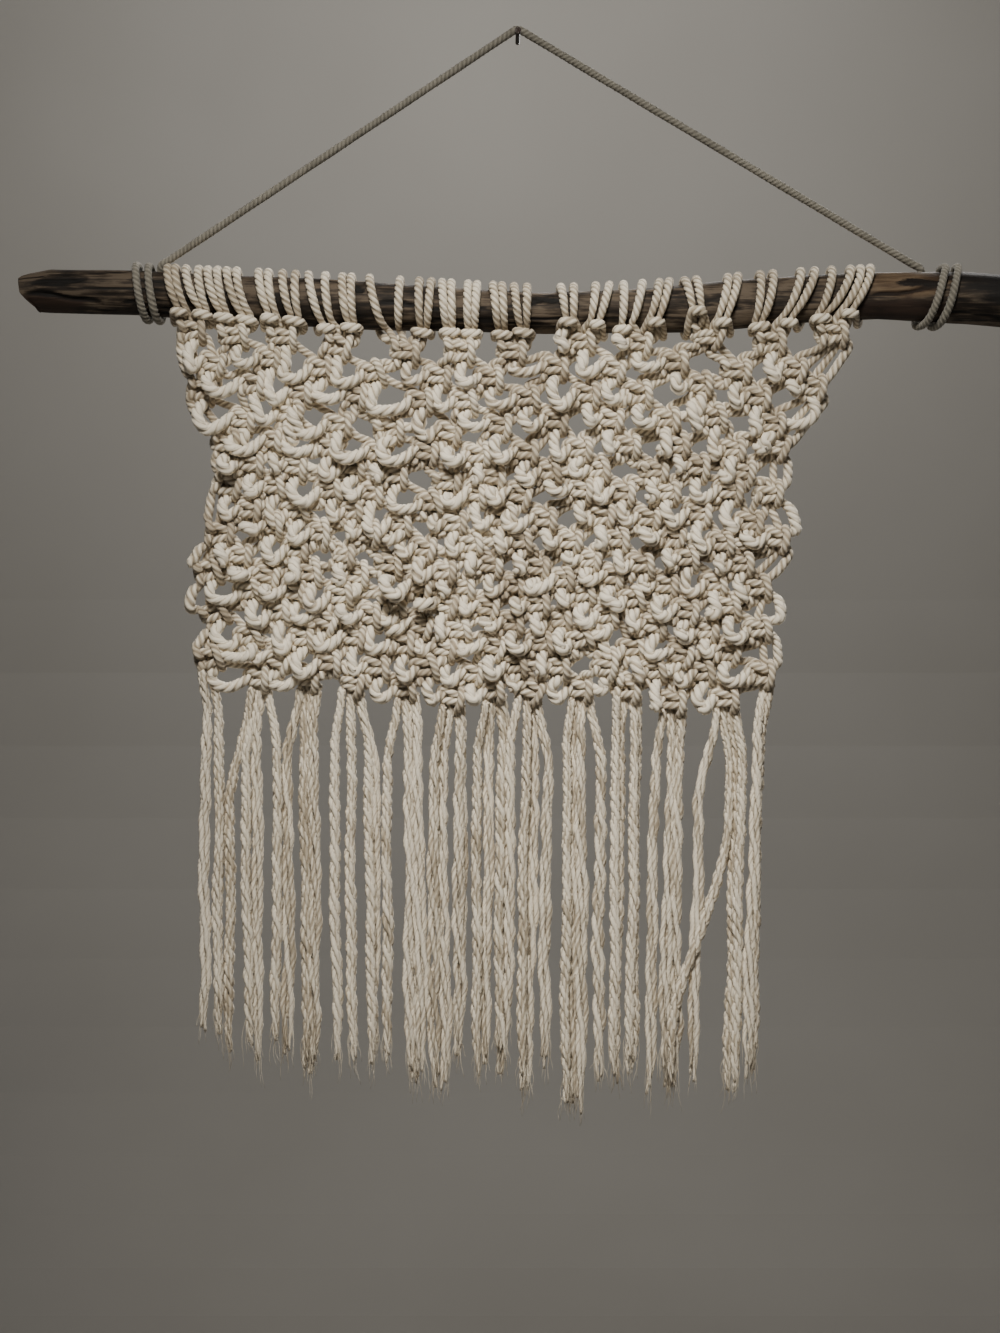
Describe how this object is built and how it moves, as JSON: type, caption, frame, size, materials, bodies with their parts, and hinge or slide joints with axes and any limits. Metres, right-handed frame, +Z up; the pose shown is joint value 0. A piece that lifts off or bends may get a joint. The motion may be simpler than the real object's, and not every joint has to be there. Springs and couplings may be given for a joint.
{
  "type": "macrame wall hanging on a driftwood rod with its nail",
  "caption": "Hand-knotted cotton cord wall hanging: a net of alternating square knots with loose loops and a long fringe, hung from a driftwood stick by a cord over a nail.",
  "frame": {"origin": "where the nail enters the wall, at the wall's face", "axes": "+Z up, +X to the right as seen from the room, -Y out of the wall to the viewer; the wall is the plane y = 0"},
  "size_m": [0.605, 0.044, 0.6293],
  "materials": {
    "cotton_cord": "natural undyed twisted cotton",
    "hanger_cotton": "the same cotton, greyed with handling",
    "driftwood": "weathered bare wood",
    "nail_steel": "dull dark steel"
  },
  "bodies": {
    "root": {"nail": "nail_steel", "driftwood_stick": "driftwood", "larks_head_01": "cotton_cord", "larks_head_02": "cotton_cord", "larks_head_03": "cotton_cord", "larks_head_04": "cotton_cord", "larks_head_05": "cotton_cord", "larks_head_06": "cotton_cord", "larks_head_07": "cotton_cord", "larks_head_08": "cotton_cord", "larks_head_09": "cotton_cord", "larks_head_10": "cotton_cord", "larks_head_11": "cotton_cord", "larks_head_12": "cotton_cord", "larks_head_13": "cotton_cord", "larks_head_14": "cotton_cord", "larks_head_15": "cotton_cord", "larks_head_16": "cotton_cord", "larks_head_17": "cotton_cord", "larks_head_18": "cotton_cord", "larks_head_19": "cotton_cord", "larks_head_20": "cotton_cord", "larks_head_21": "cotton_cord", "larks_head_22": "cotton_cord", "larks_head_23": "cotton_cord", "larks_head_24": "cotton_cord", "knotted_panel": "cotton_cord", "fringe": "cotton_cord", "hanger_cord": "hanger_cotton"}
  },
  "joints": []
}
